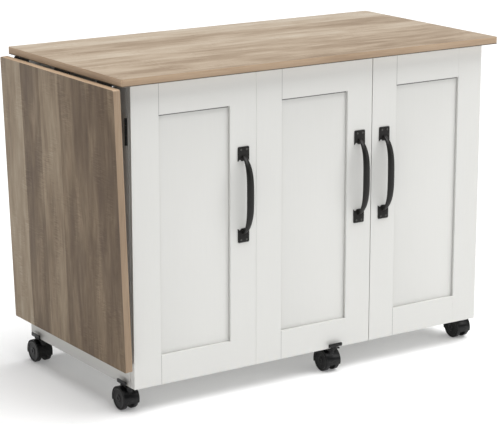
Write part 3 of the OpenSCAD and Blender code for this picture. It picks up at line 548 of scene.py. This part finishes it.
def add_grip(bm, x, face_y, z, half, out):
    """The bow from one neck to the other, swept square to its curve."""
    rings = []
    count, step = 36, 0.004
    for i in range(-count, count + 1):
        t = math.sin(math.radians(90 * i / count))  # closer rings where the bow bends, at its ends
        before = bow_point(max(-1.0, t - step), half, out)
        after = bow_point(min(1.0, t + step), half, out)
        run = (after - before).normalized()
        outward = Vector((run.y, -run.x))
        wide = NECK_W + (GRIP_W - NECK_W) * (1 - abs(t) ** 3)
        thick = GRIP_T * (1 - 0.25 * abs(t) ** 4)
        at = bow_point(t, half, out)
        rings.append([(x + u, face_y - at.x - v * outward.x, z + at.y + v * outward.y)
                      for u, v in grip_section(wide, thick)])
    solid_from_rings(bm, rings)


def bow_handle(name, node, body):
    """Takes the place of a CAD node that holds one handle, or one at each end of its box."""
    lo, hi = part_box(node)
    z = (lo.z + hi.z) / 2
    half, out = (hi.z - lo.z) / 2, hi.y - lo.y
    bm = bmesh.new()
    for x in sorted({round(lo.x + PLATE_W / 2, 6), round(hi.x - PLATE_W / 2, 6)}):
        for up in (-1, 1):
            add_plate(bm, x, hi.y, z + up * (half - PLATE_H / 2), up)
        add_grip(bm, x, hi.y, z, half - NECK_IN, out)
    bmesh.ops.recalc_face_normals(bm, faces=bm.faces)
    mesh = bpy.data.meshes.new(name)
    bm.to_mesh(mesh)
    bm.free()
    for p in mesh.polygons:
        p.use_smooth = True
    mesh.set_sharp_from_angle(angle=SHARP_OVER)
    o = add_object(name, mesh)
    dress(o, [COAT])
    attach(o, body)
    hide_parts(node)


bow_handle("bow_handles_wide_door", "wide_door_handles", "wide_door")
bow_handle("bow_handle_right_door", "right_door_handle", "right_door")


# ---------- stage, light, camera ----------
WHITE_LIGHT, WARM_LIGHT = (1.0, 1.0, 1.0), (1.0, 0.990, 0.975)
FLOOR_REACH = 40  # metres from the middle to each side
FLOOR_GLOW = 0.20  # thins the shadow, as on a light table
WORLD_LIGHT = 0.10
# The photo's camera, solved from the table's outlines: millimetres, then metres and radians
LENS, SENSOR = 141.48, 36
CAMERA_AT, CAMERA_DOWN, CAMERA_TURN = (-2.41805, -3.59666, 1.42309), 0.24618, -0.59007


def floor():
    mesh = bpy.data.meshes.new("floor")
    bm = bmesh.new()
    bmesh.ops.create_grid(bm, x_segments=1, y_segments=1, size=FLOOR_REACH)
    bm.to_mesh(mesh)
    bm.free()
    o = add_object("floor", mesh)
    m = Mat("floor_paint", rough=0.75, spec=0.2)
    grain = m.noise((3, 3, 3), detail=2)
    m.color(m.ramp(grain, [(0.2, (0.79, 0.79, 0.79)), (0.8, (0.81, 0.81, 0.81))]))
    m.put(m.b.inputs["Emission Color"], (*WHITE_LIGHT, 1))
    m.put(m.b.inputs["Emission Strength"], FLOOR_GLOW)
    dress(o, [m.m])


def turn_to(o, direction):
    """Turns a lamp so that its light comes from this direction."""
    o.rotation_mode = "QUATERNION"
    o.rotation_quaternion = Vector(direction).to_track_quat("Z", "Y")


def sun(name, direction, power, angle):
    data = bpy.data.lights.new(name, "SUN")
    data.energy, data.angle = power, math.radians(angle)
    turn_to(add_object(name, data), direction)


def softbox(name, aim, direction, distance, size, power, color):
    data = bpy.data.lights.new(name, "AREA")
    data.energy, data.size, data.color = power, size, color
    o = add_object(name, data)
    o.location = Vector(aim) + Vector(direction).normalized() * distance
    turn_to(o, direction)


floor()
sun("overhead", direction=(0.20, -0.20, 1.0), power=4.1, angle=62)
softbox("key", aim=(0.55, -0.2, 0.4), direction=(0.55, -0.765, 0.337), distance=1.8, size=0.7,
        power=6.0, color=WARM_LIGHT)
softbox("fill", aim=(-0.5, 0.0, 0.3), direction=(-0.60, -0.76, 0.2), distance=3.0, size=1.4,
        power=8.0, color=WHITE_LIGHT)

scene = bpy.context.scene
scene.world = bpy.data.worlds.new("studio")
scene.world.use_nodes = True
background = scene.world.node_tree.nodes["Background"]
background.inputs["Color"].default_value = (*WHITE_LIGHT, 1)
background.inputs["Strength"].default_value = WORLD_LIGHT
scene.view_settings.view_transform = "Standard"

cam_data = bpy.data.cameras.new("camera")
cam_data.sensor_width = SENSOR
cam_data.lens = LENS
cam_data.clip_end = 1.5 * FLOOR_REACH
cam = add_object("camera", cam_data)
cam.location = CAMERA_AT
cam.rotation_euler = (math.pi / 2 - CAMERA_DOWN, 0, CAMERA_TURN)
scene.camera = cam
